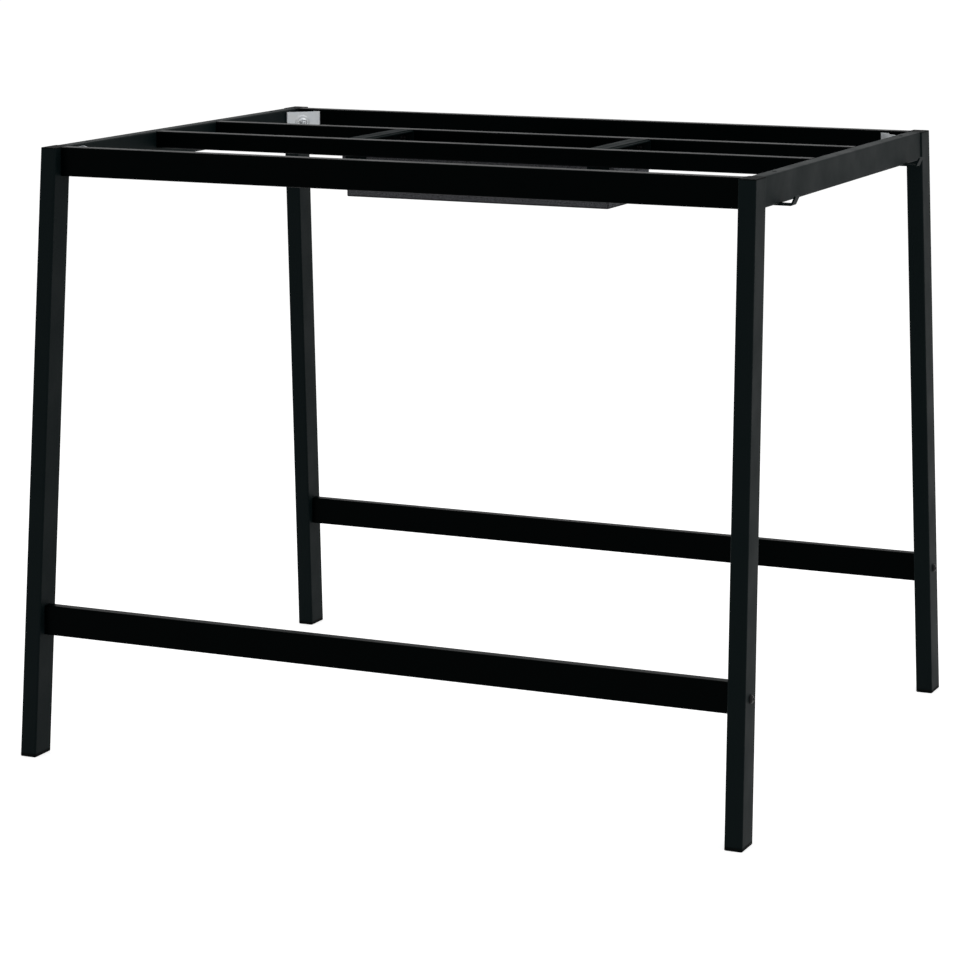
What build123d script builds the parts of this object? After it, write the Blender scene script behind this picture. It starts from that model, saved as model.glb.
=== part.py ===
from build123d import *
import os
from math import sqrt

# A bar-height table underframe in powder-coated steel tube, millimetres, +Z up.
# The origin is on the floor at the middle of the frame. X runs along the long rails and -Y is the front.
# Two ends, each of two leaning legs and a side rail, are joined by long rails at the top and stretchers
# below. Two lighter inner rails and two pressed struts carry a felt tray for cables.

# Whole frame
frame_length = 1300.0
frame_height = 1030.0
top_depth = 948.0
foot_depth = 1078.0

# Legs: rectangular tube, upright along X and leaning along Y, cut level at both ends
leg_width = 30.0
leg_depth = 50.0
tube_wall = 1.5
tube_corner = 3.0

# Rails between the legs
rail_height = 50.0
rail_width = 25.0
long_rail_inset = 17.0
side_rail_inset = 2.5
inner_rail_height = 30.0
inner_rail_width = 25.0
inner_rail_spacing = 223.0

# Stretchers near the floor
stretcher_height = 50.0
stretcher_width = 20.0
stretcher_centre_z = 227.5

# Struts pressed from sheet, with a raised crown and a fine groove along its middle
strut_inset = 18.5
strut_width = 40.0
strut_sheet = 2.0
crown_width = 31.0
crown_rise = 2.0
crown_slope = 1.0
groove_width = 3.0
groove_depth = 0.8
tab_bottom_drop = 46.0

# Cable tray pressed from felt, its ends stepped outwards to an upright rim
tray_drop = 104.0
tray_length = 500.0
tray_body_height = 60.0
tray_rim_height = 22.0
tray_rim_step = 10.0
tray_wall = 3.0
tray_corner = 2.0
tray_bottom_bevel = 1.0

# Diagonal corner brackets, zinc-plated sheet
bracket_sheet = 2.0
bracket_height = 42.0
bracket_reach = 54.0
bracket_tab = 16.0
bracket_hook = 5.5
bracket_hook_height = 30.0
bracket_bend = 1.5
boss_radius = 15.0
boss_top_radius = 12.5
boss_rise = 1.2

# Studs and flange nuts through the brackets
stud_radius = 4.0
stud_outside = 12.0
stud_foot_flat = 10.0
stud_foot_height = 3.0
nut_flat = 13.0
nut_height = 8.0
nut_flange_radius = 9.5
nut_flange_height = 1.6

# Button-head screws through the legs into plugs in the stretchers
button_head_radius = 7.0
button_head_top_radius = 4.2
button_head_height = 4.4
hex_socket = 5.0
hex_socket_depth = 2.6
screw_radius = 4.0
screw_grip = 14.0
stretcher_plug_length = 16.0

# Bag hooks: flat strip under the side rails, turned up outside them
hook_width = 20.0
hook_sheet = 3.0
hook_spacing = 686.0
hook_tail = 14.0
hook_reach = 19.0
hook_lip_out = 6.5
hook_lip_up = 14.0
hook_bend = 2.5
hook_screw_radius = 3.0
hook_screw_head_radius = 5.6
hook_screw_short_of_nut = 1.0
rivet_nut_flat = 9.0
rivet_nut_collar_flat = 12.0
rivet_nut_collar = 1.6
rivet_nut_length = 13.0
top_pin_hole_radius = 4.0

# Small fasteners of the struts and the tray
strut_screw_radius = 2.5
strut_screw_head_radius = 4.5
strut_screw_head = 3.0
strut_screw_grip = 10.0
strut_screw_drop = 15.0
tray_rivet_shank = 6.0
tray_rivet_head_radius = 6.0
tray_rivet_head = 2.0
tray_rivet_barb_width = 9.0
tray_rivet_tip_width = 3.0
tray_rivet_barb = 4.0
tray_rivet_z_in_rim = 9.0

# Plastic end plugs and feet
plug_flange = 2.0
plug_bevel = 0.7
plug_skirt = 14.0
plug_skirt_wall = 2.0
foot_sole = 6.0
foot_skirt = 22.0
sole_chamfer = 1.0

# Clearances
hole_clearance = 0.3
plug_clearance = 0.15
slot_clearance = 0.3
thread_clearance = 0.05
stud_foot_clearance = 0.4
cut_past = 1.0

# Worked out from the sizes above
lean = (foot_depth - top_depth) / 2 / frame_height
leg_centre_x = frame_length / 2 - leg_width / 2
inner_face_x = frame_length / 2 - leg_width
side_rail_x = frame_length / 2 - side_rail_inset - rail_width / 2
side_rail_inner_x = side_rail_x - rail_width / 2
long_rail_y = top_depth / 2 - long_rail_inset - rail_width / 2
long_rail_inner_y = long_rail_y - rail_width / 2
rail_centre_z = frame_height - rail_height / 2
rail_bottom_z = frame_height - rail_height
inner_rail_face_y = inner_rail_spacing / 2 - inner_rail_width / 2
strut_x = tray_length / 2 - strut_inset
brim_z = frame_height - crown_rise
tab_face_y = inner_rail_face_y - strut_sheet
tray_bottom_z = frame_height - tray_drop
tray_depth = 2 * tab_face_y
tray_rim_z = tray_bottom_z + tray_body_height
tray_rivet_z = tray_rim_z + tray_rivet_z_in_rim
hook_y = hook_spacing / 2
bore_bevel = tube_corner - tube_wall
stud_inside = sqrt(2) * tube_wall + stud_foot_flat / 2 + stud_foot_clearance

ENDS = {"left": -1, "right": 1}
SIDES = {"front": -1, "rear": 1}
CORNERS = [(f"{side}_{end}", ENDS[end], SIDES[side]) for side in SIDES for end in ENDS]


def leg_y(z, side):
    """Y of a leg's centre line at height z."""
    return side * (top_depth / 2 - leg_depth / 2 + lean * (frame_height - z))


def bevelled(width, height, bevel):
    """Rectangle with its four corners cut off."""
    return chamfer(Rectangle(width, height).vertices(), bevel)


def hexagon(flat, height):
    """Upright hexagonal prism standing on the origin, given by its width across flats."""
    return extrude(RegularPolygon(flat / sqrt(3), 6), height)


def leaning_prism(outline, low, high, end, side):
    """Prism of a level outline that follows a leg from one height to another."""
    section = Pos(end * leg_centre_x, leg_y(low, side), low) * outline
    rise = Vector(0, leg_y(high, side) - leg_y(low, side), high - low)
    return Solid.extrude(section.face(), rise)


def tube(length, width, height, plane):
    """Straight tube centred on the origin: width lies level, height lies along Z."""
    outer = extrude(plane * RectangleRounded(width, height, tube_corner), length / 2, both=True)
    bore = bevelled(width - 2 * tube_wall, height - 2 * tube_wall, bore_bevel)
    return outer - extrude(plane * bore, length, both=True)


def tube_along_x(length, width, height):
    return tube(length, width, height, Plane.YZ)


def tube_along_y(length, width, height):
    return tube(length, width, height, Plane.XZ)


def upright_cylinder(radius, low, high, x, y):
    return Pos(x, y, (low + high) / 2) * Cylinder(radius, high - low)


def bracket_axis(end, side):
    """Plane at a leg's inner edge, its Z along the bracket's stud towards the room."""
    corner_y = leg_y(rail_centre_z, side) - side * leg_depth / 2
    origin = (end * inner_face_x, corner_y, rail_centre_z)
    return Plane(origin=origin, x_dir=(0, 0, 1), z_dir=(-end, -side, 0))


def bracket_distance(end, side):
    """Distance along the stud from the leg's edge to the bracket's room-side face."""
    axis = bracket_axis(end, side)
    across = abs(axis.origin.X) + abs(axis.origin.Y)
    face = side_rail_inner_x + long_rail_inner_y - bracket_reach
    return (across - face) / sqrt(2)


def along_stud(radius, start, stop, end, side):
    """Cylinder on the stud's axis between two distances from the leg's edge."""
    place = bracket_axis(end, side).offset((start + stop) / 2)
    return place * Cylinder(radius, stop - start)


def stud_drilling(end, side):
    """Drilled way for the stud through the leg's edge and the rail ends beside it."""
    return along_stud(stud_radius + hole_clearance, -stud_inside, stud_inside, end, side)


def strip(points, thickness, bend):
    """Outline of a bent strip: a centre line with rounded bends, given a thickness."""
    line = FilletPolyline(*points, radius=bend)
    return trace(line, line_width=thickness)


def bracket_points():
    """Centre line of a front-left bracket in plan, one tab on each rail."""
    half = bracket_sheet / 2
    side_x = -side_rail_inner_x + half
    long_y = -long_rail_inner_y + half
    run = bracket_reach - half * (2 + sqrt(2))
    far_y = long_y + run
    far_x = side_x + run
    return [
        (side_x, far_y - bracket_tab),
        (side_x, far_y),
        (far_x, long_y),
        (far_x - bracket_tab, long_y),
    ]


def bracket_hooks(height, thickness, length):
    """Two short hooks of a front-left bracket, into the side rail and the long rail, at a given size."""
    points = bracket_points()
    side_x, side_y = points[0]
    long_x, long_y = points[-1]
    inside = bracket_sheet / 2
    into_side = Pos(side_x + inside - length / 2, side_y + inside, rail_centre_z)
    into_long = Pos(long_x + inside, long_y + inside - length / 2, rail_centre_z)
    return [into_side * Box(length, thickness, height), into_long * Box(thickness, length, height)]


def mirror_to_corner(shape, end, side):
    """Copy of a front-left shape in the corner named by its two signs."""
    if end > 0:
        shape = mirror(shape, Plane.YZ)
    if side > 0:
        shape = mirror(shape, Plane.XZ)
    return shape


def bracket_slots(end, side):
    """Clear ways for a bracket's two hooks through the rails' walls."""
    height = bracket_hook_height + 2 * slot_clearance
    width = bracket_sheet + 2 * slot_clearance
    length = bracket_hook + 2 * slot_clearance
    return [mirror_to_corner(slot, end, side) for slot in bracket_hooks(height, width, length)]


def make_leg(end, side):
    outline = RectangleRounded(leg_width, leg_depth, tube_corner)
    solid = leaning_prism(outline, foot_sole, frame_height - plug_flange, end, side)
    bore_outline = bevelled(leg_width - 2 * tube_wall, leg_depth - 2 * tube_wall, bore_bevel)
    bore = leaning_prism(bore_outline, 0, frame_height, end, side)
    screw_way = Pos(end * leg_centre_x, leg_y(stretcher_centre_z, side), stretcher_centre_z)
    screw_way *= Rot(0, 90, 0) * Cylinder(screw_radius + hole_clearance, 2 * leg_width)
    return solid - bore - screw_way - stud_drilling(end, side)


def make_skirt(low, high, end, side):
    """Hollow skirt of a plug or foot, a close fit inside the leg's tube."""
    inset = 2 * (tube_wall + plug_clearance)
    width, depth = leg_width - inset, leg_depth - inset
    outer = leaning_prism(bevelled(width, depth, bore_bevel), low, high, end, side)
    hollow = Rectangle(width - 2 * plug_skirt_wall, depth - 2 * plug_skirt_wall)
    return outer - leaning_prism(hollow, low, high, end, side)


def make_top_plug(end, side):
    flange_low = frame_height - plug_flange
    outline = RectangleRounded(leg_width, leg_depth, tube_corner)
    flange = leaning_prism(outline, flange_low, frame_height, end, side)
    flange = chamfer(flange.faces().sort_by(Axis.Z)[-1].edges(), plug_bevel)
    return flange + make_skirt(flange_low - plug_skirt, flange_low, end, side)


def make_foot(end, side):
    sole = leaning_prism(RectangleRounded(leg_width, leg_depth, tube_corner), 0, foot_sole, end, side)
    sole = chamfer(sole.faces().sort_by(Axis.Z)[0].edges(), sole_chamfer)
    return sole + make_skirt(foot_sole, foot_sole + foot_skirt, end, side)


def make_side_rail(end):
    """Side rail with ends cut to the legs' lean, slots for two brackets and holes for two hooks."""
    face_at_top = abs(leg_y(frame_height, 1)) - leg_depth / 2
    face_at_bottom = abs(leg_y(rail_bottom_z, 1)) - leg_depth / 2
    corners = [
        (-face_at_top, frame_height),
        (face_at_top, frame_height),
        (face_at_bottom, rail_bottom_z),
        (-face_at_bottom, rail_bottom_z),
    ]
    outline = Plane.YZ * Polygon(*corners, align=None)
    between_legs = extrude(outline, frame_length, both=True)
    place = Pos(end * side_rail_x, 0, rail_centre_z)
    rail = place * tube_along_y(top_depth, rail_width, rail_height) & between_legs
    nut_way = hexagon(rivet_nut_flat + 2 * thread_clearance, rivet_nut_length + cut_past)
    for side in SIDES.values():
        rail -= bracket_slots(end, side)
        rail -= stud_drilling(end, side)
        x, y = end * side_rail_x, side * hook_y
        rail -= upright_cylinder(top_pin_hole_radius, rail_centre_z, frame_height + cut_past, x, y)
        rail -= Pos(x, y, rail_bottom_z - cut_past) * nut_way
    return rail


def make_long_rail(side):
    """Long rail between the inner faces of two legs, with slots for two brackets."""
    place = Pos(0, side * long_rail_y, rail_centre_z)
    rail = place * tube_along_x(2 * inner_face_x, rail_width, rail_height)
    for end in ENDS.values():
        rail -= bracket_slots(end, side)
    return rail


def make_inner_rail(side):
    """Inner rail between the side rails, drilled for a screw of each strut."""
    place = Pos(0, side * inner_rail_spacing / 2, frame_height - inner_rail_height / 2)
    rail = place * tube_along_x(2 * side_rail_inner_x, inner_rail_width, inner_rail_height)
    for end in ENDS.values():
        way = Pos(end * strut_x, side * inner_rail_face_y, frame_height - strut_screw_drop)
        rail -= way * Rot(90, 0, 0) * Cylinder(strut_screw_radius + thread_clearance, inner_rail_width)
    return rail


def make_stretcher(side):
    place = Pos(0, leg_y(stretcher_centre_z, side), stretcher_centre_z)
    return place * tube_along_x(2 * inner_face_x, stretcher_width, stretcher_height)


def make_stretcher_plug(end, side):
    """Plug welded inside a stretcher's end, tapped for the screw through the leg."""
    inset = 2 * (tube_wall + plug_clearance)
    section = bevelled(stretcher_width - inset, stretcher_height - inset, bore_bevel)
    block = extrude(Plane.YZ * section, stretcher_plug_length / 2, both=True)
    block -= Rot(0, 90, 0) * Cylinder(screw_radius + thread_clearance, stretcher_plug_length)
    middle_x = inner_face_x - stretcher_plug_length / 2
    return Pos(end * middle_x, leg_y(stretcher_centre_z, side), stretcher_centre_z) * block


def make_stretcher_screw(end, side):
    """Button-head screw: a tapered head with a hexagon socket, seated on the leg's outer face."""
    shank = leg_width + screw_grip
    head = Cone(button_head_radius, button_head_top_radius, button_head_height)
    head = Pos(0, 0, button_head_height / 2) * head
    head -= Pos(0, 0, button_head_height - hex_socket_depth) * hexagon(hex_socket, hex_socket_depth)
    screw = head + Pos(0, 0, -shank / 2) * Cylinder(screw_radius, shank)
    seat = Pos(end * frame_length / 2, leg_y(stretcher_centre_z, side), stretcher_centre_z)
    return seat * Rot(0, 90 * end, 0) * screw


def make_strut(end):
    """Strut pressed from sheet: brim, crown and groove, with a tab turned down on each inner rail."""
    half, top, low = crown_width / 2, frame_height, brim_z
    under = crown_slope + strut_sheet / 2
    profile = [
        (-strut_width / 2, low - strut_sheet),
        (-strut_width / 2, low),
        (-half, low),
        (-half + crown_slope, top),
        (-groove_width / 2, top),
        (0, top - groove_depth),
        (groove_width / 2, top),
        (half - crown_slope, top),
        (half, low),
        (strut_width / 2, low),
        (strut_width / 2, low - strut_sheet),
        (half - under + crown_slope / 2, low - strut_sheet),
        (half - under, top - strut_sheet),
        (-half + under, top - strut_sheet),
        (-half + under - crown_slope / 2, low - strut_sheet),
    ]
    sheet = extrude(Plane.XZ * Polygon(*profile, align=None), inner_rail_face_y, both=True)
    tab_top = low - strut_sheet
    tab_low = frame_height - tab_bottom_drop
    for side in SIDES.values():
        middle_y = side * (tab_face_y + strut_sheet / 2)
        tab = Pos(0, middle_y, (tab_top + tab_low) / 2) * Box(strut_width, strut_sheet, tab_top - tab_low)
        lower_corners = tab.edges().filter_by(Axis.Y).group_by(Axis.Z)[0]
        sheet += fillet(lower_corners, 2 * strut_sheet)
        screw_way = Pos(0, middle_y, frame_height - strut_screw_drop) * Rot(90, 0, 0)
        sheet -= screw_way * Cylinder(strut_screw_radius + hole_clearance, 2 * strut_sheet)
        rivet_hole = tray_rivet_shank + 2 * hole_clearance
        sheet -= Pos(0, middle_y, tray_rivet_z) * Box(rivet_hole, 2 * strut_sheet, rivet_hole)
    return Pos(end * strut_x, 0, 0) * sheet


def make_strut_screw(end, side):
    """Pan-head screw through a strut's tab into the inner rail's wall."""
    head = Pos(0, 0, strut_screw_head / 2) * Cylinder(strut_screw_head_radius, strut_screw_head)
    shank = strut_sheet + tube_wall + strut_screw_grip
    screw = head + Pos(0, 0, -shank / 2) * Cylinder(strut_screw_radius, shank)
    place = Pos(end * strut_x, side * tab_face_y, frame_height - strut_screw_drop)
    return place * Rot(90 * side, 0, 0) * screw


def tray_form(inset):
    """Tray's solid form drawn in by an inset: an upright body whose ends step out to a rim."""
    depth = tray_depth - 2 * inset
    floor_z, rim_z = tray_bottom_z + inset, tray_rim_z + inset
    top_z = tray_rim_z + tray_rim_height
    body = Pos(0, 0, floor_z) * extrude(Rectangle(tray_length - 2 * inset, depth), top_z - floor_z)
    rim_outline = Rectangle(tray_length + 2 * (tray_rim_step - inset), depth)
    return body + Pos(0, 0, rim_z) * extrude(rim_outline, top_z - rim_z)


def make_tray():
    """Felt tray hung by its long walls from the struts' tabs."""
    outer = tray_form(0)
    outer = fillet(outer.edges().filter_by(Axis.Z), tray_corner)
    outer = chamfer(outer.faces().sort_by(Axis.Z)[0].edges(), tray_bottom_bevel)
    tray = outer - tray_form(tray_wall)
    hole = tray_rivet_shank + 2 * hole_clearance
    for end in ENDS.values():
        tray -= Pos(end * strut_x, 0, tray_rivet_z) * Box(hole, 2 * tray_depth, hole)
    return tray


def make_tray_rivet(end, side):
    """Snap rivet: a flat head inside the tray, a square shank and a barb behind the strut's tab."""
    grip = tray_wall + strut_sheet
    head = Pos(0, 0, tray_rivet_head / 2) * Cylinder(tray_rivet_head_radius, tray_rivet_head)
    shank = Pos(0, 0, -grip / 2) * Box(tray_rivet_shank, tray_rivet_shank, grip)
    arrow = [
        (-tray_rivet_barb_width / 2, -grip),
        (tray_rivet_barb_width / 2, -grip),
        (tray_rivet_tip_width / 2, -grip - tray_rivet_barb),
        (-tray_rivet_tip_width / 2, -grip - tray_rivet_barb),
    ]
    barb = extrude(Plane.XZ * Polygon(*arrow, align=None), tray_rivet_shank / 2, both=True)
    wall_inside_y = tray_depth / 2 - tray_wall
    place = Pos(end * strut_x, side * wall_inside_y, tray_rivet_z)
    return place * Rot(90 * side, 0, 0) * (head + shank + barb)


def make_bracket(end, side):
    """Diagonal bracket hooked into both rails, with a pressed boss round its hole."""
    points = bracket_points()
    sheet = extrude(strip(points, bracket_sheet, bracket_bend), bracket_height / 2, both=True)
    bracket = Pos(0, 0, rail_centre_z) * sheet
    for hook in bracket_hooks(bracket_hook_height, bracket_sheet, bracket_hook):
        bracket += hook
    face = bracket_axis(-1, -1).offset(bracket_distance(-1, -1))
    rise = boss_rise
    outer = face.offset(rise / 2) * Cone(boss_radius, boss_top_radius, rise)
    hollow = face.offset(rise / 2 - bracket_sheet) * Cone(boss_radius, boss_top_radius, rise)
    bracket = bracket + outer - hollow
    bracket -= along_stud(stud_radius + hole_clearance, 0, 2 * bracket_reach, -1, -1)
    return mirror_to_corner(bracket, end, side)


def make_stud(end, side):
    """Stud through the leg's inner edge, its hexagonal foot welded inside the tube."""
    stop = bracket_distance(end, side) + boss_rise + stud_outside
    shank = along_stud(stud_radius, -stud_inside, stop, end, side)
    foot_place = bracket_axis(end, side).offset(-stud_inside - stud_foot_height)
    return shank + foot_place * hexagon(stud_foot_flat, stud_foot_height)


def make_nut(end, side):
    """Hexagon nut with a round flange, tightened on the bracket's boss."""
    flange = Pos(0, 0, nut_flange_height / 2) * Cylinder(nut_flange_radius, nut_flange_height)
    nut = flange + hexagon(nut_flat, nut_height) - Cylinder(stud_radius + thread_clearance, 3 * nut_height)
    seat = bracket_axis(end, side).offset(bracket_distance(end, side) + boss_rise)
    return seat * nut


def make_hook(end, side):
    """Bag hook: strip held flat under the rail, then turned up in a slanting lip."""
    centre_z = rail_bottom_z - hook_sheet / 2
    turn_x = frame_length / 2 - side_rail_inset + hook_reach
    points = [
        (side_rail_x - hook_tail, centre_z),
        (turn_x, centre_z),
        (turn_x + hook_lip_out, centre_z + hook_lip_up),
    ]
    outline = Plane.XZ * strip(points, hook_sheet, hook_bend)
    hook = extrude(outline, hook_width / 2, both=True)
    low = rail_bottom_z - hook_sheet
    hook -= upright_cylinder(hook_screw_radius + hole_clearance, low, rail_bottom_z, side_rail_x, 0)
    sink = hook_screw_head_radius - hook_screw_radius
    cone = Cone(hook_screw_head_radius + hole_clearance, hook_screw_radius + hole_clearance, sink)
    hook -= Pos(side_rail_x, 0, low + sink / 2) * cone
    hook = Pos(0, hook_y * side, 0) * hook
    return mirror(hook, Plane.YZ) if end < 0 else hook


def make_hook_screw(end, side):
    """Countersunk screw flush under a hook, held by the rivet nut above."""
    low = rail_bottom_z - hook_sheet
    sink = hook_screw_head_radius - hook_screw_radius
    x, y = end * side_rail_x, side * hook_y
    head = Pos(x, y, low + sink / 2) * Cone(hook_screw_head_radius, hook_screw_radius, sink)
    tip = rail_bottom_z + rivet_nut_length - hook_screw_short_of_nut
    return head + upright_cylinder(hook_screw_radius, low + sink, tip, x, y)


def make_rivet_nut(end, side):
    """Hexagonal rivet nut set in the bottom wall of a side rail, its collar inside the tube."""
    nut = hexagon(rivet_nut_flat, rivet_nut_length)
    nut += Pos(0, 0, tube_wall) * hexagon(rivet_nut_collar_flat, rivet_nut_collar)
    nut -= Cylinder(hook_screw_radius + thread_clearance, 3 * rivet_nut_length)
    return Pos(end * side_rail_x, side * hook_y, rail_bottom_z) * nut


def all_corners(make):
    """The same small piece at each of the four corners, kept as separate solids."""
    return Compound(children=[make(end, side) for _, end, side in CORNERS])


def all_parts():
    parts = {}
    for name, end, side in CORNERS:
        parts[f"leg_{name}"] = make_leg(end, side)
        parts[f"leg_top_plug_{name}"] = make_top_plug(end, side)
        parts[f"foot_{name}"] = make_foot(end, side)
        parts[f"corner_bracket_{name}"] = make_bracket(end, side)
        parts[f"bag_hook_{name}"] = make_hook(end, side)
    for name, end in ENDS.items():
        parts[f"side_rail_{name}"] = make_side_rail(end)
        parts[f"tray_strut_{name}"] = make_strut(end)
    for name, side in SIDES.items():
        parts[f"long_rail_{name}"] = make_long_rail(side)
        parts[f"inner_rail_{name}"] = make_inner_rail(side)
        parts[f"stretcher_{name}"] = make_stretcher(side)
    parts["cable_tray"] = make_tray()
    groups = {
        "corner_studs": make_stud,
        "corner_nuts": make_nut,
        "stretcher_screws": make_stretcher_screw,
        "stretcher_plugs": make_stretcher_plug,
        "hook_screws": make_hook_screw,
        "hook_rivet_nuts": make_rivet_nut,
        "strut_screws": make_strut_screw,
        "tray_rivets": make_tray_rivet,
    }
    for name, make in groups.items():
        parts[name] = all_corners(make)
    return parts


os.makedirs("parts", exist_ok=True)
for node, shape in all_parts().items():
    export_step(shape, f"parts/{node}.step")
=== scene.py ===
from math import atan2, cos, pi, radians, sin, sqrt

import bpy
import numpy as np
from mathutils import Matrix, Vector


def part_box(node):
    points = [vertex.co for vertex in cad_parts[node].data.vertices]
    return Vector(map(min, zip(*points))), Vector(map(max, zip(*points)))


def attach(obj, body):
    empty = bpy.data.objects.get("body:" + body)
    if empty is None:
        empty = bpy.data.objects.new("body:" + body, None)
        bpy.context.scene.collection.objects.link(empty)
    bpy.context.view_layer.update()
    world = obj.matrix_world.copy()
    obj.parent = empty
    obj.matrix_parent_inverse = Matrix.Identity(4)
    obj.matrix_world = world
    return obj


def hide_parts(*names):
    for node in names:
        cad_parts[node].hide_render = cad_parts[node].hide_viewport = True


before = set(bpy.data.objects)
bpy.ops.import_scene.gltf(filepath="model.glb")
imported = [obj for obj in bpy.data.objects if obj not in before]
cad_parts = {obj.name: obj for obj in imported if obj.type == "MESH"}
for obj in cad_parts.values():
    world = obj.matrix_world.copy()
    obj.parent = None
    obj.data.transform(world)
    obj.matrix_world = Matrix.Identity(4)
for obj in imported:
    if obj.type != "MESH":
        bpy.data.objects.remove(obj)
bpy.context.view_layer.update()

bl_info = {
    "name": "Table underframe finish",
    "version": (1, 0, 0),
    "blender": (4, 5, 0),
    "location": "3D View > Sidebar > Underframe",
    "description": "Coats the steel, threads the fasteners, presses the felt tray and sets the studio",
    "category": "Object",
}

CORNERS = [(side, end) for side in ("front", "rear") for end in ("left", "right")]
TURN = {"left": -1, "right": 1, "front": -1, "rear": 1}

# Sizes that the metal shares with its construction, in metres
LEG_INNER_X = 0.620
FRAME_HALF = 0.650
TOP_LEVEL = 1.030
LEG_EDGE_Y = 0.425578
RAIL_MIDDLE = 1.005
BRACKET_FACE = 0.031873
BOSS_RISE = 0.0012
STUD_OUTSIDE = 0.012
SCREW_Y = 0.499643
SCREW_LEVEL = 0.2275
STRUT_X = 0.2315
TAB_FACE_Y = 0.097
STRUT_SCREW_DROP = 0.015
RIVET_LEVEL = 0.995
HOOK_X = 0.635
HOOK_Y = 0.343
HOOK_UNDERSIDE = 0.977


def colour(name, text, default):
    """A colour that a user may change, kept as sRGB hex and turned to linear for the shader."""
    return bpy.props.FloatVectorProperty(
        name=name, description=text, subtype="COLOR", size=4, min=0, max=1, default=linear(default)
    )


def length(name, text, default):
    """A length in metres that a user may change."""
    return bpy.props.FloatProperty(
        name=name, description=text, default=default, min=0, unit="LENGTH", precision=5
    )


def share(name, text, default, high=1.0):
    """A plain number from nought up."""
    return bpy.props.FloatProperty(name=name, description=text, default=default, min=0, max=high)


def linear(code):
    """sRGB hex code to a linear colour: the low part is a straight line, the rest a power of 2.4."""
    parts = np.array([int(code[k : k + 2], 16) for k in (1, 3, 5)]) / 255
    low, high = parts / 12.92, ((parts + 0.055) / 1.055) ** 2.4
    return (*np.where(parts <= 0.04045, low, high).tolist(), 1.0)


class UnderframeFinish(bpy.types.PropertyGroup):
    """Colours and surface of the coated steel, the zinc, the plastic and the felt"""

    coat: colour("End frame coat", "Colour on legs, side rails, struts and hooks", "#060f10")
    coat_gloss: share("End frame gloss", "Reflections on legs, side rails and hooks", 0.046)
    # Painted shade: the rails' colour is a darker copy of the end frames' black, standing in for the deeper
    # shade on the rails
    rail_coat_painted_shade: colour("Rail coat", "Colour on long rails, inner rails and stretchers", "#000202")
    rail_gloss: share("Rail gloss", "Reflections on long rails, inner rails and stretchers", 0.012)
    strut_gloss: share("Strut gloss", "Reflections on the struts", 0.02)
    coat_roughness: share("End frame roughness", "Roughness of the coat on legs, side rails and hooks", 0.55)
    rail_roughness: share("Rail roughness", "Roughness of the coat on long and inner rails, stretchers", 0.32)
    strut_roughness: share("Strut roughness", "Roughness of the coat on the struts", 0.6)
    coat_peel: length("Orange peel", "Size of the coat's gentle waves", 0.0035)
    plastic: colour("Black plastic", "Colour of the plugs, feet and rivets", "#060909")
    plastic_grain: length("Plastic grain", "Size of the fine erosion grain on moulded plastic", 0.0012)
    zinc: colour("Zinc plate", "Colour of the bright zinc plate", "#bcbdbb")
    zinc_roughness: share("Zinc roughness", "Roughness of the zinc plate", 0.5)
    nut_roughness: share("Nut roughness", "Roughness of the nuts' brighter plate", 0.225)
    oxide: colour("Black oxide", "Colour of the blackened screws", "#0a0b0c")
    steel: colour("Plain steel", "Colour of the uncoated inserts", "#8f9092")
    felt_pale: colour("Pale fibre", "Colour of the felt's pale fibres", "#6b6c70")
    felt_dark: colour("Dark fibre", "Colour of the felt's dark fibres", "#0e0f10")
    felt_fibre: length("Fibre clump", "Width of a clump of fibres", 0.0019)


class UnderframeSizes(bpy.types.PropertyGroup):
    """Sizes of the pieces that are worked out here"""

    thread_pitch: length("Thread pitch", "Pitch of the studs' thread", 0.00125)
    thread_depth: length("Thread depth", "Depth of the studs' thread", 0.0006)
    nut_flat: length("Nut flats", "Width of the nut across its flats", 0.013)
    nut_height: length("Nut height", "Height of the nut with its flange", 0.008)
    button_radius: length("Button head", "Radius of the stretcher screws' heads", 0.007)
    button_height: length("Button height", "Height of the stretcher screws' heads", 0.0044)
    felt_wall: length("Felt thickness", "Thickness of the pressed felt", 0.003)
    felt_waver: length("Felt waver", "How far the felt's faces stray from true", 0.0003)
    felt_step: length("Rim step", "How far the tray's ends step out to the rim", 0.010)
    felt_rim: length("Rim height", "Height of the tray's rim above the step", 0.022)
    felt_fold: length("Fold radius", "Outer radius of the felt's folds and corners", 0.002)
    felt_seam: length("Corner seam", "Depth of the seam down each corner of the tray", 0.0012)


class UnderframeStudio(bpy.types.PropertyGroup):
    """Floor, lamps and camera"""

    floor_size: length("Floor", "Width of the floor", 160.0)
    sky: share("Surroundings", "Brightness of the room around the object", 0.5, 10)
    card_glow: share("Card glow", "What the white card adds to the lamps' light to look white", 0.6, 10)
    key: share("Key lamp", "Power of the soft lamp at the right, in watts", 30.0, 5000)
    top: share("Top lamp", "Power of the soft lamp above, in watts", 50.0, 5000)
    heading: bpy.props.FloatProperty(
        name="Heading",
        description="Angle of the camera to the right of the front",
        default=radians(24.22),
        subtype="ANGLE",
    )
    camera_place: bpy.props.FloatVectorProperty(
        name="Camera", description="Place of the camera", subtype="TRANSLATION", size=3,
        default=(2.3421, -5.2832, 1.5589),
    )
    lens: share("Lens", "Focal length in millimetres on a 36 mm sensor", 122.38, 500)
    rise: bpy.props.FloatProperty(
        name="Shift", description="Upward shift of the level camera's picture", default=-0.6669
    )


def add_node(tree, kind, inputs=None, **settings):
    """Adds one shader node with its settings; an input is a value or a socket to link from."""
    node = tree.nodes.new(kind)
    for name, value in settings.items():
        setattr(node, name, value)
    for name, value in (inputs or {}).items():
        if isinstance(value, bpy.types.NodeSocket):
            tree.links.new(value, node.inputs[name])
        else:
            node.inputs[name].default_value = value
    return node


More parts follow.
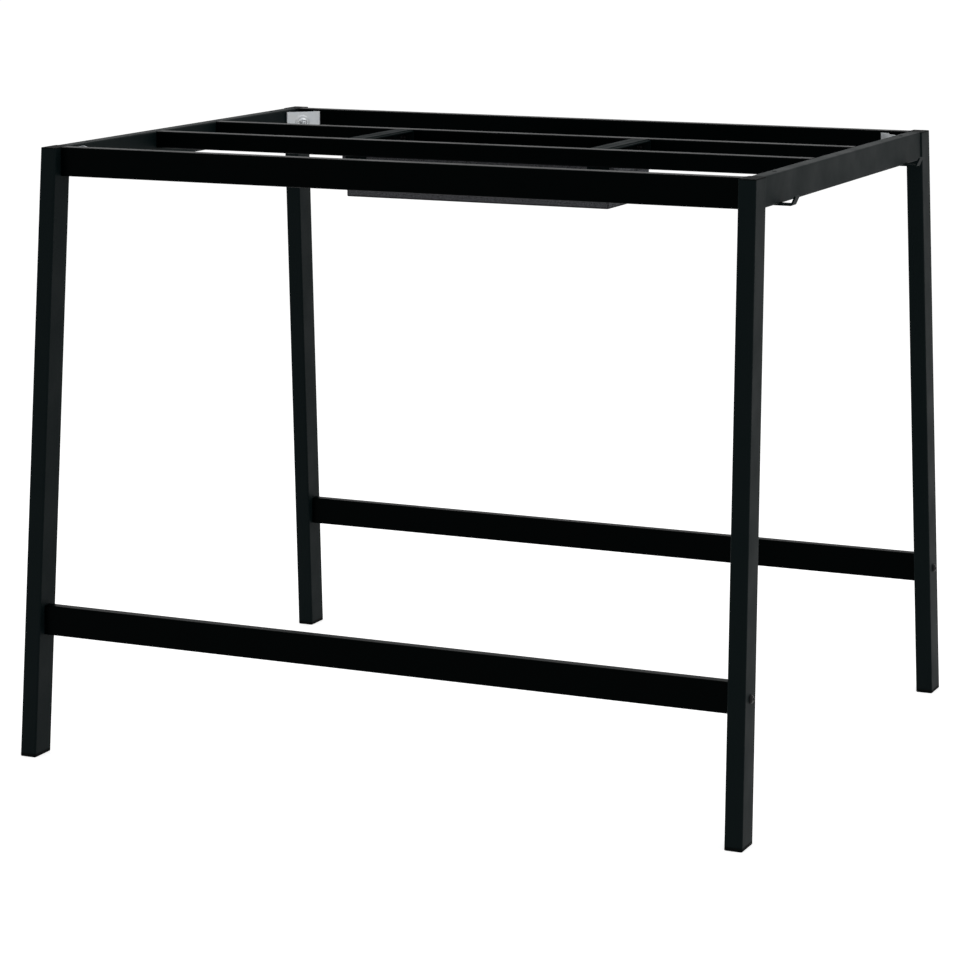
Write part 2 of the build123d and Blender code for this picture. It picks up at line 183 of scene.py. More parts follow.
def new_material(name):
    """An empty node material, its tree, and the object's own coordinates in metres."""
    made = bpy.data.materials.new(name)
    made.use_nodes = True
    tree = made.node_tree
    tree.nodes.clear()
    place = add_node(tree, "ShaderNodeTexCoord").outputs["Object"]
    return made, tree, place


def finish_material(tree, shader):
    """Links the finished shader to the material's output."""
    add_node(tree, "ShaderNodeOutputMaterial", {"Surface": shader.outputs[0]})


def satin_powder_coat(name, code, gloss_level, roughness, peel):
    """Polyester powder coat, sprayed and baked: a black skin with a soft sheen and faint waves."""
    made, tree, place = new_material(name)
    # The waves are drawn at their true size; their slopes only soften the edges of reflections.
    waves = add_node(tree, "ShaderNodeTexNoise", {"Vector": place, "Scale": 1 / peel, "Detail": 2.0})
    patches = add_node(tree, "ShaderNodeTexNoise", {"Vector": place, "Scale": 14.0, "Detail": 3.0})
    gloss = add_node(
        tree, "ShaderNodeMapRange",
        {"Value": patches.outputs["Fac"], "From Min": 0.3, "From Max": 0.7,
         "To Min": roughness * 0.92, "To Max": roughness * 1.1},
    )
    bump = add_node(
        tree, "ShaderNodeBump", {"Height": waves.outputs["Fac"], "Strength": 0.12, "Distance": 0.0004}
    )
    shader = add_node(
        tree, "ShaderNodeBsdfPrincipled",
        {"Base Color": code, "Roughness": gloss.outputs[0], "Normal": bump.outputs[0],
         "IOR": 1.5, "Specular IOR Level": gloss_level},
    )
    finish_material(tree, shader)
    return made


def moulded_plastic(name, code, grain):
    """Polyamide, injection moulded in an eroded tool: a matt black with a fine even grain."""
    made, tree, place = new_material(name)
    pits = add_node(tree, "ShaderNodeTexVoronoi", {"Vector": place, "Scale": 1 / grain})
    bump = add_node(
        tree, "ShaderNodeBump", {"Height": pits.outputs["Distance"], "Strength": 0.25, "Distance": 0.0002}
    )
    shader = add_node(
        tree, "ShaderNodeBsdfPrincipled",
        {"Base Color": code, "Roughness": 0.7, "Normal": bump.outputs[0], "IOR": 1.5,
         "Specular IOR Level": 0.03},
    )
    finish_material(tree, shader)
    return made


def bright_zinc(name, code, roughness):
    """Mild steel, zinc plated and clear passivated: a cool silver with a faint cloudy gloss."""
    made, tree, place = new_material(name)
    clouds = add_node(tree, "ShaderNodeTexNoise", {"Vector": place, "Scale": 90.0, "Detail": 5.0})
    tint = add_node(
        tree, "ShaderNodeMix",
        {"Factor": clouds.outputs["Fac"], "A": code, "B": linear("#b2b8bf")}, data_type="RGBA",
    )
    gloss = add_node(
        tree, "ShaderNodeMapRange",
        {"Value": clouds.outputs["Fac"], "To Min": roughness * 0.7, "To Max": roughness * 1.3},
    )
    # Rolling lines of the sheet, 0.3 mm apart in truth and drawn twice as wide so that they show
    drawn = add_node(tree, "ShaderNodeMapping", {"Vector": place, "Scale": (60.0, 60.0, 1600.0)})
    lines = add_node(
        tree, "ShaderNodeTexNoise", {"Vector": drawn.outputs[0], "Scale": 1.0, "Detail": 3.0}
    )
    bump = add_node(
        tree, "ShaderNodeBump", {"Height": lines.outputs["Fac"], "Strength": 0.06, "Distance": 0.0002}
    )
    shader = add_node(
        tree, "ShaderNodeBsdfPrincipled",
        {"Base Color": tint.outputs["Result"], "Metallic": 1.0, "Roughness": gloss.outputs[0],
         "Normal": bump.outputs[0]},
    )
    finish_material(tree, shader)
    return made


def black_oxide(name, code):
    """Hardened steel, hot blackened and oiled: a near-black skin with a sharp small highlight."""
    made, tree, place = new_material(name)
    stain = add_node(tree, "ShaderNodeTexNoise", {"Vector": place, "Scale": 700.0, "Detail": 4.0})
    gloss = add_node(
        tree, "ShaderNodeMapRange", {"Value": stain.outputs["Fac"], "To Min": 0.24, "To Max": 0.42}
    )
    shader = add_node(
        tree, "ShaderNodeBsdfPrincipled",
        {"Base Color": code, "Roughness": gloss.outputs[0], "IOR": 1.5, "Specular IOR Level": 0.12},
    )
    finish_material(tree, shader)
    return made


def plain_steel(name, code):
    """Free-cutting steel, turned and left bare: a mid grey with fine turning marks."""
    made, tree, place = new_material(name)
    marks = add_node(tree, "ShaderNodeTexNoise", {"Vector": place, "Scale": 900.0, "Detail": 3.0})
    gloss = add_node(
        tree, "ShaderNodeMapRange", {"Value": marks.outputs["Fac"], "To Min": 0.3, "To Max": 0.5}
    )
    shader = add_node(
        tree, "ShaderNodeBsdfPrincipled",
        {"Base Color": code, "Metallic": 1.0, "Roughness": gloss.outputs[0]},
    )
    finish_material(tree, shader)
    return made


def pressed_felt(name, pale, dark, fibre, fold_level, shoulder, corner_sums):
    """Polyester felt, needled and hot pressed: mixed grey fibres, dull, with painted shade along its bottom
    fold and down its corner seams.
    """
    made, tree, place = new_material(name)
    # Fibre clumps are drawn wider than real ones so that the mottle shows.
    clumps = add_node(
        tree, "ShaderNodeTexNoise", {"Vector": place, "Scale": 1 / fibre, "Detail": 5.0, "Roughness": 0.75}
    )
    stretched = add_node(
        tree, "ShaderNodeMapping", {"Vector": place, "Rotation": (0.5, 0.4, 0.7), "Scale": (1.0, 0.22, 1.0)}
    )
    threads = add_node(
        tree, "ShaderNodeTexNoise",
        {"Vector": stretched.outputs[0], "Scale": 1.6 / fibre, "Detail": 3.0, "Roughness": 0.6},
    )
    blend = add_node(
        tree, "ShaderNodeMath", {0: clumps.outputs["Fac"], 1: threads.outputs["Fac"]}, operation="ADD"
    )
    mottle = add_node(
        tree, "ShaderNodeMapRange", {"Value": blend.outputs[0], "From Min": 0.78, "From Max": 1.24}
    )
    shade = add_node(
        tree, "ShaderNodeMix",
        {"Factor": mottle.outputs[0], "A": dark, "B": pale}, data_type="RGBA",
    )
    # Painted shade: the colour darkens towards black along the foot's fold and down the corner seams, where
    # shade falls
    axes = add_node(tree, "ShaderNodeSeparateXYZ", {"Vector": place}).outputs
    pressed = add_node(
        tree, "ShaderNodeMapRange",
        {"Value": axes["Z"], "From Min": fold_level + 0.001, "From Max": fold_level + 0.0035,
         "To Min": 0.25, "To Max": 1.0},
    )
    across = [add_node(tree, "ShaderNodeMath", {0: axes[k]}, operation="ABSOLUTE") for k in "XY"]
    together = add_node(
        tree, "ShaderNodeMath", {0: across[0].outputs[0], 1: across[1].outputs[0]}, operation="ADD"
    )
    corner_sum = add_node(
        tree, "ShaderNodeMapRange",
        {"Value": axes["Z"], "From Min": shoulder - 0.001, "From Max": shoulder,
         "To Min": corner_sums[0], "To Max": corner_sums[1]},
    )
    to_corner = add_node(
        tree, "ShaderNodeMath", {0: corner_sum.outputs[0], 1: together.outputs[0]}, operation="SUBTRACT"
    )
    seam = add_node(
        tree, "ShaderNodeMapRange",
        {"Value": to_corner.outputs[0], "From Min": 0.001, "From Max": 0.0025, "To Min": 0.2, "To Max": 1.0},
    )
    painted_fold_shade = add_node(
        tree, "ShaderNodeMath", {0: pressed.outputs[0], 1: seam.outputs[0]}, operation="MINIMUM"
    )
    # Painted shade: the fibres' colour is mixed towards black by the fold and seam masks
    felt_with_painted_shade = add_node(
        tree, "ShaderNodeMix",
        {"Factor": painted_fold_shade.outputs[0], "A": linear("#000000"), "B": shade.outputs["Result"]},
        data_type="RGBA",
    )
    bump = add_node(
        tree, "ShaderNodeBump", {"Height": blend.outputs[0], "Strength": 0.5, "Distance": 0.0006}
    )
    shader = add_node(
        tree, "ShaderNodeBsdfPrincipled",
        {"Base Color": felt_with_painted_shade.outputs["Result"], "Roughness": 1.0, "Normal": bump.outputs[0],
         "Specular IOR Level": 0.05},
    )
    finish_material(tree, shader)
    return made


def settle(piece, made, slot, *nodes):
    """Gives a new piece its material and its body, and hides the construction nodes it stands for; the slot
    is not used.
    """
    piece.data.materials.append(made)
    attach(piece, "root")
    if nodes:
        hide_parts(*nodes)


def recoat(made, *starts):
    """Gives a material to every construction node whose name begins with one of the words."""
    for name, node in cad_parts.items():
        if name.startswith(starts):
            for place in node.material_slots:
                place.material = made


def new_piece(name, points, faces, edge_angle):
    """One object of points and faces, smooth but for edges sharper than an angle in degrees."""
    mesh = bpy.data.meshes.new(name)
    mesh.from_pydata(np.concatenate(points).tolist(), [], faces)
    mesh.validate()
    mesh.shade_smooth()
    mesh.set_sharp_from_angle(angle=radians(edge_angle))
    piece = bpy.data.objects.new(name, mesh)
    bpy.context.scene.collection.objects.link(piece)
    return piece


def skin_faces(rings, around, first=0):
    """Quads between rings of points, with a fan to the pole point that closes each end."""
    k = np.arange(around)
    low = np.arange(rings - 1)[:, None] * around + k
    high = np.arange(rings - 1)[:, None] * around + (k + 1) % around
    quads = np.stack([low, high, high + around, low + around], axis=-1).reshape(-1, 4) + first
    start, stop = first + rings * around, first + rings * around + 1
    last = first + (rings - 1) * around
    fan_in = np.stack([np.full(around, start), first + (k + 1) % around, first + k], axis=-1)
    fan_out = np.stack([np.full(around, stop), last + k, last + (k + 1) % around], axis=-1)
    return quads.tolist() + fan_in.tolist() + fan_out.tolist()


def closed_skin(name, grids, edge_angle=32):
    """One object of closed shells: each grid is rings by points around by three, capped by poles."""
    points, faces = [], []
    for grid in grids:
        rings, around = grid.shape[:2]
        first = sum(len(p) for p in points)
        ends = np.stack([grid[0].mean(0), grid[-1].mean(0)])
        points.append(np.concatenate([grid.reshape(-1, 3), ends]))
        faces += skin_faces(rings, around, first)
    return new_piece(name, points, faces, edge_angle)


def ring_skin(name, grids, edge_angle=32):
    """One object of closed rings: the last row of each grid joins its first, as round a nut's bore."""
    points, faces = [], []
    for grid in grids:
        grid = grid[:-1]
        rings, around = grid.shape[:2]
        first = sum(len(p) for p in points)
        row, k = np.arange(rings)[:, None], np.arange(around)[None, :]
        low, high = row * around, (row + 1) % rings * around
        quad = np.stack([low + k, low + (k + 1) % around, high + (k + 1) % around, high + k], axis=-1)
        points.append(grid.reshape(-1, 3))
        faces += (quad.reshape(-1, 4) + first).tolist()
    return new_piece(name, points, faces, edge_angle)


def turned(profile, around, sides=6, flats=None, threads=None):
    """Turned or many-sided shape about Z.

    Each row of the profile is (radius, height, flatness), with flatness from 0 to 1. The radius at an
    angle is the row's own radius, or that radius over the cosine of the angle to the nearest flat,
    mixed by the row's flatness. The list flats holds the largest radius of each row, and the function
    threads gives the depth that is cut away at a height and an angle.
    """
    rows = np.array(profile, float)
    angle = np.linspace(0, 2 * pi, around, endpoint=False)
    half_side = pi / sides
    to_flat = (angle + half_side) % (2 * half_side) - half_side
    shape = 1 + rows[:, 2:3] * (1 / np.cos(to_flat)[None, :] - 1)
    radius = rows[:, 0:1] * shape
    if flats is not None:
        radius = np.minimum(radius, np.array(flats)[:, None])
    if threads is not None:
        radius = radius - threads(rows[:, 1:2], angle[None, :])
    level = np.broadcast_to(rows[:, 1:2], radius.shape)
    return np.stack([radius * np.cos(angle), radius * np.sin(angle), level], axis=-1)


def stand(grid, place, axis):
    """Turns a shape from +Z to an axis and carries it to its place."""
    z = np.array(axis, float) / np.linalg.norm(axis)
    side = np.array([0, 0, 1.0]) if abs(z[2]) < 0.9 else np.array([1.0, 0, 0])
    x = np.cross(side, z)
    x /= np.linalg.norm(x)
    y = np.cross(z, x)
    return grid[..., 0:1] * x + grid[..., 1:2] * y + grid[..., 2:3] * z + np.array(place, float)


def corner_axis(side, end):
    """Start and direction of a corner's stud: from the leg's inner edge inwards on the diagonal."""
    x, y = TURN[end], TURN[side]
    return np.array([x * LEG_INNER_X, y * LEG_EDGE_Y, RAIL_MIDDLE]), np.array([-x, -y, 0]) / sqrt(2)


class UNDERFRAME_OT_coat_steel(bpy.types.Operator):
    """Powder coats the legs, rails, stretchers, struts and hooks"""

    bl_idname = "underframe.coat_steel"
    bl_label = "Coat the steel"

    def execute(self, context):
        look = context.scene.underframe_finish
        rough, smooth, peel = look.coat_roughness, look.rail_roughness, look.coat_peel
        frame_coat = satin_powder_coat("satin_black_powder_coat", look.coat, look.coat_gloss, rough, peel)
        recoat(frame_coat, "leg_front", "leg_rear", "side_rail", "bag_hook")
        # Painted shade: the rails get a darker copy of the end frames' black colour
        rail_coat_painted_shade = satin_powder_coat("rail_powder_coat_painted_shade", look.rail_coat_painted_shade, look.rail_gloss, smooth, peel)
        recoat(rail_coat_painted_shade, "long_rail", "inner_rail", "stretcher_front", "stretcher_rear")
        strut_look = look.strut_gloss, look.strut_roughness, peel
        strut_coat = satin_powder_coat("matt_black_strut_coat", look.coat, *strut_look)
        recoat(strut_coat, "tray_strut")
        return {"FINISHED"}


class UNDERFRAME_OT_mould_plastics(bpy.types.Operator):
    """Gives the plugs and feet their moulded plastic"""

    bl_idname = "underframe.mould_plastics"
    bl_label = "Mould plugs and feet"

    def execute(self, context):
        look = context.scene.underframe_finish
        recoat(moulded_plastic("black_moulded_polyamide", look.plastic, look.plastic_grain),
               "leg_top_plug", "foot")
        return {"FINISHED"}


class UNDERFRAME_OT_plate_brackets(bpy.types.Operator):
    """Zinc plates the corner brackets and leaves the hidden inserts bare"""

    bl_idname = "underframe.plate_brackets"
    bl_label = "Plate the brackets"

    def execute(self, context):
        look = context.scene.underframe_finish
        recoat(bright_zinc("bright_zinc_plate", look.zinc, look.zinc_roughness), "corner_bracket")
        recoat(plain_steel("turned_steel", look.steel), "stretcher_plugs", "hook_rivet_nuts")
        return {"FINISHED"}


class UNDERFRAME_OT_thread_studs(bpy.types.Operator):
    """Cuts the four studs with their rolled thread"""

    bl_idname = "underframe.thread_studs"
    bl_label = "Thread the studs"

    def execute(self, context):
        sizes, look = context.scene.underframe_sizes, context.scene.underframe_finish
        radius, start, foot = 0.004, -0.0075, 0.005
        around, rows_a_pitch = 36, 10
        thread_from, stop, point = 0.026, BRACKET_FACE + BOSS_RISE + STUD_OUTSIDE, 0.0009
        steps = int((stop - thread_from) / sizes.thread_pitch * rows_a_pitch)
        heights = np.linspace(thread_from, stop, steps)
        tip = np.clip(stop - heights, 0, point)
        body = np.stack([radius - (point - tip), heights, 0 * heights], axis=-1)
        foot_rows = [(foot - 0.0005, start - 0.003, 1), (foot, start - 0.0025, 1), (foot, start, 1),
                     (radius, start, 0), (radius, thread_from - 0.0002, 0)]
        # A hexagon socket in the stud's end, by which it is held while the nut is turned
        socket = [(0.0019, stop, 0), (0.0015, stop - 0.0003, 1), (0.0015, stop - 0.0030, 1),
                  (0.0008, stop - 0.0034, 0)]
        on_body = np.concatenate([np.ones(len(foot_rows) + steps), np.zeros(len(socket))])[:, None]

        def groove(height, angle):
            """Depth of a symmetric V that climbs one pitch each turn, faded in where it starts."""
            turn = (height / sizes.thread_pitch - angle / (2 * pi)) % 1
            fade = np.clip((height - thread_from) / sizes.thread_pitch, 0, 1)
            return sizes.thread_depth * (1 - np.abs(2 * turn - 1)) * fade * on_body

        shape = turned(np.concatenate([foot_rows, body, socket]), around, threads=groove)
        grids = [stand(shape, *corner_axis(side, end)) for side, end in CORNERS]
        piece = closed_skin("threaded_corner_studs", grids, edge_angle=70)
        settle(piece, bright_zinc("bright_zinc_stud", look.zinc, look.zinc_roughness), "bright_zinc",
               "corner_studs")
        return {"FINISHED"}


class UNDERFRAME_OT_form_nuts(bpy.types.Operator):
    """Forms the four flange nuts with their chamfered hexagon"""

    bl_idname = "underframe.form_nuts"
    bl_label = "Form the nuts"

    def execute(self, context):
        sizes, look = context.scene.underframe_sizes, context.scene.underframe_finish
        half, high = sizes.nut_flat / 2, sizes.nut_height
        flange, bore = 0.0095, 0.00405
        corner = half / cos(pi / 6)
        # Radius, height and hexagon share of each row, from the bore's foot out, up and back inside
        rows = [(bore, 0, 0), (flange - 0.0004, 0, 0), (flange, 0.0003, 0), (flange, 0.0010, 0),
                (flange - 0.0012, 0.0015, 0), (corner * 0.99, 0.0019, 0), (half, 0.0021, 1),
                (half, high - 0.0011, 1), (half, high - 0.0006, 1), (half, high, 1),
                (bore + 0.0006, high, 0), (bore, high - 0.0006, 0), (bore, 0, 0)]
        # Each row's largest radius, which chamfers the hexagon's corners and leaves the round rows free
        free = 1.0
        caps = [free] * 6 + [corner, corner, corner * 0.97, half * 0.98] + [free] * 3
        shape = turned(rows, around=48, flats=caps)
        grids = []
        for side, end in CORNERS:
            place, axis = corner_axis(side, end)
            grids.append(stand(shape, place + axis * (BRACKET_FACE + BOSS_RISE), axis))
        piece = ring_skin("corner_flange_nuts", grids, edge_angle=28)
        settle(piece, bright_zinc("bright_zinc_nut", look.zinc, look.nut_roughness), "bright_zinc",
               "corner_nuts")
        return {"FINISHED"}


def socket_head(radius, high, socket, deep, shank, reach, dome):
    """Rows of a screw: shank, underside of the head, a dome by a quarter ellipse, and a hexagon socket."""
    t = np.linspace(0, 1, 9)
    edge_radius = radius * dome
    arc = np.stack([radius - (radius - edge_radius) * (1 - np.cos(t * pi / 2)),
                    high * np.sin(t * pi / 2), 0 * t], axis=-1)
    rows = [(shank - 0.0004, -reach, 0), (shank, -reach + 0.0005, 0), (shank, 0, 0), (radius, 0, 0)]
    rim = [(socket / 2 * 1.17, high, 0), (socket / 2, high - 0.0003, 1), (socket / 2, high - deep, 1),
           (socket / 4, high - deep - 0.0004, 1)]
    return np.concatenate([rows, arc[1:], rim])


class UNDERFRAME_OT_turn_screws(bpy.types.Operator):
    """Turns the screws of the stretchers, the struts and the hooks"""

    bl_idname = "underframe.turn_screws"
    bl_label = "Turn the screws"

    def execute(self, context):
        sizes, look = context.scene.underframe_sizes, context.scene.underframe_finish
        made = black_oxide("black_oxide_steel", look.oxide)
        head = sizes.button_radius, sizes.button_height
        rows = socket_head(*head, socket=0.005, deep=0.0026, shank=0.004, reach=0.044, dome=0.45)
        button = turned(rows, around=48)
        grids = []
        for side, end in CORNERS:
            place = (TURN[end] * FRAME_HALF, TURN[side] * SCREW_Y, SCREW_LEVEL)
            grids.append(stand(button, place, (TURN[end], 0, 0)))
        settle(closed_skin("stretcher_button_screws", grids), made, "black_screw", "stretcher_screws")
        head = 0.0045, 0.003
        rows = socket_head(*head, socket=0.003, deep=0.0018, shank=0.0025, reach=0.0135, dome=0.6)
        pan = turned(rows, around=40)
        grids = []
        for side, end in CORNERS:
            place = (TURN[end] * STRUT_X, TURN[side] * TAB_FACE_Y, TOP_LEVEL - STRUT_SCREW_DROP)
            grids.append(stand(pan, place, (0, -TURN[side], 0)))
        settle(closed_skin("strut_pan_screws", grids), made, "black_screw", "strut_screws")
        # Radius, height and hexagon share of each row: the end, the shank, the sunk head and its socket
        rows = [(0.0026, 0.015, 0), (0.003, 0.0145, 0), (0.003, 0.0026, 0), (0.0056, 0.0002, 0),
                (0.0056, 0, 0), (0.0026, 0, 0), (0.002, 0.0003, 1), (0.002, 0.002, 1), (0.001, 0.0023, 1)]
        sunk = turned(rows, around=40)
        grids = [stand(sunk, (TURN[end] * HOOK_X, TURN[side] * HOOK_Y, HOOK_UNDERSIDE), (0, 0, 1))
                 for side, end in CORNERS]
        settle(closed_skin("hook_countersunk_screws", grids), made, "black_screw", "hook_screws")
        return {"FINISHED"}


class UNDERFRAME_OT_mould_rivets(bpy.types.Operator):
    """Moulds the snap rivets that hold the tray"""

    bl_idname = "underframe.mould_rivets"
    bl_label = "Mould the rivets"

    def execute(self, context):
        look = context.scene.underframe_finish
        wall = context.scene.underframe_sizes.felt_wall
        made = moulded_plastic("black_rivet_polyamide", look.plastic, look.plastic_grain)
        shank = 0.003
        # Half width, height and flatness of each row: the barb's tip and shoulder, then the shank
        square = [(0.0012, -0.009, 1), (0.0015, -0.0088, 1), (0.0045, -0.005, 1), (shank, -0.005, 1),
                  (shank, 0, 1)]
        head = [(0.0058, 0, 0), (0.006, 0.0003, 0), (0.006, 0.0009, 0), (0.0054, 0.0015, 0),
                (0.0034, 0.0019, 0), (0.0032, 0.0019, 0), (0.003, 0.0016, 0), (0.0008, 0.0016, 0)]
        shape = turned(square + head, around=40, sides=4)
        # The barb is a flat arrow: wide in one direction, and as thick as the shank in the other
        shape[: len(square), :, 1] *= shank / np.array(square)[:, :1]
        grids = []
        for side, end in CORNERS:
            place = (TURN[end] * STRUT_X, TURN[side] * (TAB_FACE_Y - wall), RIVET_LEVEL)
            grids.append(stand(shape, place, (0, -TURN[side], 0)))
        settle(closed_skin("tray_snap_rivets", grids), made, "rivet_plastic", "tray_rivets")
        return {"FINISHED"}


def plan_ring(half_x, half_y, corner, seam, around):
    """Points round a rectangle with round corners, evenly counted on arcs and sides.

    A corner's point lies at its arc's centre plus the corner radius along the angle; a seam takes a
    narrow bell of that angle, highest at the corner's middle, off the radius.
    """
    sharpest = 1e-4
    corner = max(corner, sharpest)
    t = np.linspace(0, pi / 2, around // 8, endpoint=False)
    s = np.linspace(0, 1, around // 8, endpoint=False)[:, None]
    deepest, spread = corner * 0.8, 0.16
    reach = corner - min(seam, deepest) * np.exp(-(((t - pi / 4) / spread) ** 2))
    x, y = half_x - corner, half_y - corner
    centres = np.array([(x, y), (-x, y), (-x, -y), (x, -y)])
    parts = []
    for quarter in range(4):
        turn = quarter * pi / 2
        centre, after = centres[quarter], centres[(quarter + 1) % 4]
        parts.append(centre + np.stack([reach * np.cos(t + turn), reach * np.sin(t + turn)], -1))
        edge = corner * np.array([cos(turn + pi / 2), sin(turn + pi / 2)])
        parts.append(centre + edge + (after - centre) * s)
    return np.concatenate(parts)


class UNDERFRAME_OT_press_tray(bpy.types.Operator):
    """Folds and presses the cable tray from one sheet of felt"""

    bl_idname = "underframe.press_tray"
    bl_label = "Press the felt tray"

    def execute(self, context):
        sizes, look = context.scene.underframe_sizes, context.scene.underframe_finish
        low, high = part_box("cable_tray")
        rim_x, half_y, floor_z, top = high.x, high.y, low.z, high.z
        step, wall, fold, seam = sizes.felt_step, sizes.felt_wall, sizes.felt_fold, sizes.felt_seam
        shoulder = top - sizes.felt_rim
        body_x = rim_x - step
        t = np.linspace(0, pi / 2, 7)
        curl = list(zip(fold * (1 - np.sin(t)), fold * (1 - np.cos(t))))
        outside, inside = (fold, seam), (fold / 2, 0)
        # Rows of (half length, half depth, corner radius, seam, height), outside up and inside down
        rows = [(body_x - a, half_y - a, *outside, floor_z + b) for a, b in curl]
        climb = np.linspace(floor_z + fold * 1.5, shoulder - 0.0002, 24)
        rows += [(body_x, half_y, *outside, z) for z in climb]
        rows += [(body_x + step * k, half_y, *outside, shoulder) for k in np.linspace(0.1, 0.9, 5)]
        rows += [(rim_x, half_y, *outside, z) for z in np.linspace(shoulder + 0.0004, top - 0.0006, 10)]
        rows += [(rim_x - 0.0004, half_y - 0.0004, *outside, top)]
        inner_x, inner_y = rim_x - wall, half_y - wall
        inner_shoulder, inner_floor = shoulder + wall, floor_z + wall
        rows += [(inner_x + 0.0004, inner_y + 0.0004, *inside, top)]
        rim_fall = np.linspace(top - 0.0006, inner_shoulder + 0.0004, 10)
        rows += [(inner_x, inner_y, *inside, z) for z in rim_fall]
        rows += [(inner_x - step * k, inner_y, *inside, inner_shoulder) for k in np.linspace(0.1, 0.9, 5)]
        body_fall = np.linspace(inner_shoulder - 0.0002, inner_floor + fold, 24)
        rows += [(inner_x - step, inner_y, *inside, z) for z in body_fall]
        rows += [(inner_x - step - b, inner_y - b, *inside, inner_floor + a) for a, b in curl[1:]]
        around = 240
        rings = [np.concatenate([plan_ring(x, y, corner, cut, around), np.full((around, 1), z)], axis=1)
                 for x, y, corner, cut, z in rows]
        shares = (0.15, 0.3, 0.45, 0.6, 0.75, 0.9)
        bottom = [rings[0] * [s, s, 1] for s in shares]
        inner = [rings[-1] * [s, s, 1] for s in reversed(shares)]
        grid = np.stack(bottom + rings + inner)
        # Waver: a few long sine waves push the walls in by a hair, never out of the pressed size
        x, y, z = grid[..., 0], grid[..., 1], grid[..., 2]
        wave = 0.5 + 0.25 * (np.sin(31 * x + 17 * z + 1.3) + np.sin(23 * y - 41 * z + 0.4))
        # Nearer to the middle than this the push fades out
        middle = 0.05
        pull = 1 - sizes.felt_waver * wave / np.maximum(np.hypot(x, y), middle)
        grid[..., 0], grid[..., 1] = x * pull, y * pull
        piece = closed_skin("felt_cable_tray", [grid], edge_angle=60)
        fibres = look.felt_pale, look.felt_dark, look.felt_fibre
        felt = pressed_felt(
            "pressed_grey_felt", *fibres, floor_z, shoulder, (body_x + half_y, rim_x + half_y)
        )
        settle(piece, felt, "grey_felt", "cable_tray")
        return {"FINISHED"}


class UNDERFRAME_OT_set_studio(bpy.types.Operator):
    """Lays the floor, hangs the lamps and sets the camera"""

    bl_idname = "underframe.set_studio"
    bl_label = "Set the studio"

    def execute(self, context):
        scene, room = context.scene, context.scene.underframe_studio
        scene.view_settings.view_transform = "Standard"
        half = room.floor_size / 2
        mesh = bpy.data.meshes.new("studio_floor")
        corners = [(-half, -half, 0), (half, -half, 0), (half, half, 0), (-half, half, 0)]
        mesh.from_pydata(corners, [], [(0, 1, 2, 3)])
        floor = bpy.data.objects.new("studio_floor", mesh)
        scene.collection.objects.link(floor)
        mesh.materials.append(studio_floor(room.card_glow))
        scene.world = studio_world(room.sky)
        hang_lamp(scene, "key_lamp", room.key, place=(3.6, -0.6, 3.0), aim=(0, 0, 0.8), size=3.0)
        hang_lamp(scene, "top_lamp", room.top, place=(-0.5, 0.6, 4.2), aim=(0, 0, 0.9), size=4.0)
        lens = bpy.data.cameras.new("photo_camera")
        lens.lens, lens.sensor_width, lens.shift_y = room.lens, 36.0, room.rise
        lens.clip_end = 500.0
        camera = bpy.data.objects.new("photo_camera", lens)
        camera.location = room.camera_place
        camera.rotation_euler = (pi / 2, 0, room.heading)
        scene.collection.objects.link(camera)
        scene.camera = camera
        return {"FINISHED"}


def hang_lamp(scene, name, power, place, aim, size):
    """A square soft lamp at one place that faces another."""
    light = bpy.data.lights.new(name, "AREA")
    light.energy, light.size, light.shape = power, size, "SQUARE"
    lamp = bpy.data.objects.new(name, light)
    away = np.array(aim) - np.array(place)
    flat = np.hypot(away[0], away[1])
    lamp.location = place
    lamp.rotation_euler = (atan2(flat, -away[2]), 0, atan2(away[1], away[0]) - pi / 2)
    scene.collection.objects.link(lamp)


def seen_directly(tree):
    """One for rays from the camera, off gloss and through glass, and nought for those that only light."""
    path = add_node(tree, "ShaderNodeLightPath")
    gloss = add_node(
        tree, "ShaderNodeMath",
        {0: path.outputs["Is Camera Ray"], 1: path.outputs["Is Glossy Ray"]}, operation="MAXIMUM",
    )
    return add_node(
        tree, "ShaderNodeMath",
        {0: gloss.outputs[0], 1: path.outputs["Is Transmission Ray"]}, operation="MAXIMUM",
    ).outputs[0]


def studio_floor(glow):
    """Seamless white card: its glow makes up what the lamps leave short of white, and shadows stay."""
    made, tree = new_material("white_studio_card")[:2]
    card = add_node(tree, "ShaderNodeBsdfDiffuse", {"Color": linear("#f2f2f2")})
    light = add_node(tree, "ShaderNodeEmission", {"Color": (1, 1, 1, 1), "Strength": glow})
    both = add_node(tree, "ShaderNodeAddShader", {0: card.outputs[0], 1: light.outputs[0]})
    mixed = add_node(
        tree, "ShaderNodeMixShader", {0: seen_directly(tree), 1: card.outputs[0], 2: both.outputs[0]}
    )
    finish_material(tree, mixed)
    return made


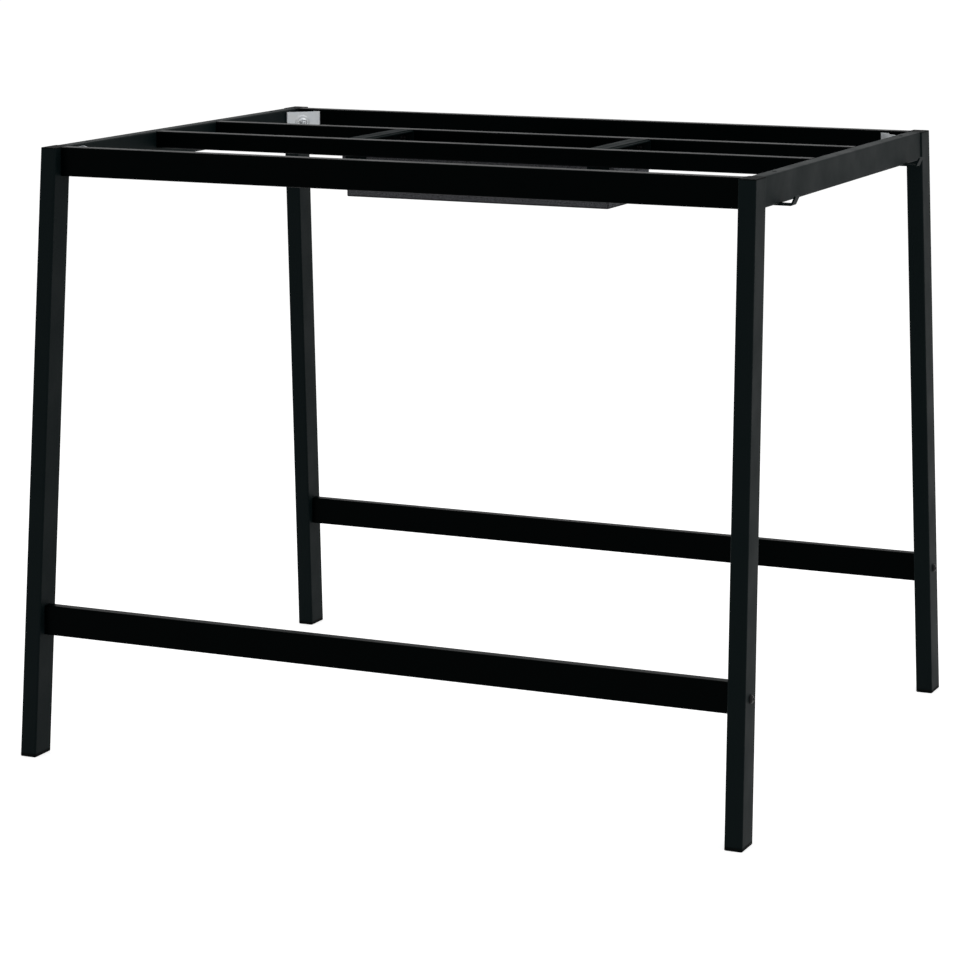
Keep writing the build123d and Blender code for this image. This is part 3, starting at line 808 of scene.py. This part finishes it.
def studio_world(level):
    """An even pale room, pure white where the camera, a reflection or glass looks straight at it."""
    world = bpy.data.worlds.new("studio_room")
    world.use_nodes = True
    tree = world.node_tree
    tree.nodes.clear()
    strength = add_node(
        tree, "ShaderNodeMapRange", {"Value": seen_directly(tree), "To Min": level, "To Max": 1.0}
    )
    back = add_node(
        tree, "ShaderNodeBackground", {"Color": (1, 1, 1, 1), "Strength": strength.outputs[0]}
    )
    add_node(tree, "ShaderNodeOutputWorld", {"Surface": back.outputs[0]})
    return world


class UNDERFRAME_PT_panel(bpy.types.Panel):
    """Lists the underframe's pieces and sizes"""

    bl_idname = "UNDERFRAME_PT_panel"
    bl_label = "Underframe"
    bl_space_type = "VIEW_3D"
    bl_region_type = "UI"
    bl_category = "Underframe"

    def draw(self, context):
        scene = context.scene
        for group in (scene.underframe_finish, scene.underframe_sizes, scene.underframe_studio):
            box = self.layout.box()
            for name in group.__annotations__:
                box.prop(group, name)
        for kind in OPERATORS:
            self.layout.operator(kind.bl_idname)


GROUPS = {
    "underframe_finish": UnderframeFinish,
    "underframe_sizes": UnderframeSizes,
    "underframe_studio": UnderframeStudio,
}
OPERATORS = (
    UNDERFRAME_OT_set_studio,
    UNDERFRAME_OT_coat_steel,
    UNDERFRAME_OT_mould_plastics,
    UNDERFRAME_OT_plate_brackets,
    UNDERFRAME_OT_thread_studs,
    UNDERFRAME_OT_form_nuts,
    UNDERFRAME_OT_turn_screws,
    UNDERFRAME_OT_mould_rivets,
    UNDERFRAME_OT_press_tray,
)


def register():
    for kind in (*GROUPS.values(), *OPERATORS, UNDERFRAME_PT_panel):
        bpy.utils.register_class(kind)
    for name, group in GROUPS.items():
        setattr(bpy.types.Scene, name, bpy.props.PointerProperty(type=group))


def unregister():
    for name in GROUPS:
        delattr(bpy.types.Scene, name)
    for kind in (UNDERFRAME_PT_panel, *reversed(OPERATORS), *reversed(list(GROUPS.values()))):
        bpy.utils.unregister_class(kind)


def main():
    """Makes every piece and the stage."""
    register()
    for kind in OPERATORS:
        group, name = kind.bl_idname.split(".")
        getattr(getattr(bpy.ops, group), name)()


if __name__ == "__main__":
    main()
